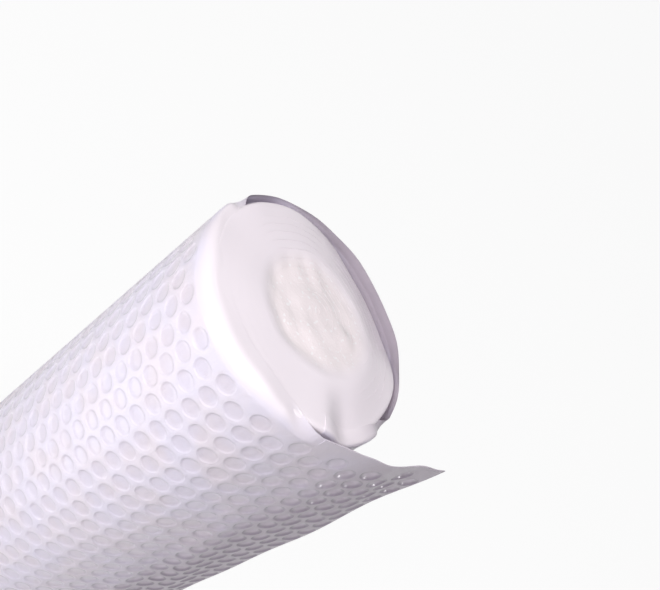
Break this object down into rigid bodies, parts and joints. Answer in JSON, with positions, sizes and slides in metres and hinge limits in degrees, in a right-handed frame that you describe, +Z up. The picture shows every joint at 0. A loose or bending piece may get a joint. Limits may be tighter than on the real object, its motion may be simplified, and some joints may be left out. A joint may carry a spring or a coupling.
{
  "type": "bubble wrap roll",
  "caption": "Small coreless roll of clear bubble wrap standing on its end, with the free end of the sheet hanging off it as a tail.",
  "frame": {"origin": "on the roll's axis, in the plane of the end that the roll stands on", "axes": "+Z up along the roll's axis; the tail leaves the roll at its front right (-Y, +X) and runs towards +X"},
  "size_m": [0.1625, 0.1321, 0.3],
  "materials": {
    "film": "clear polyethylene film with air bubbles, slightly milky where it is wound"
  },
  "bodies": {
    "root": {"bubble_wrap_roll": "film"}
  },
  "joints": []
}
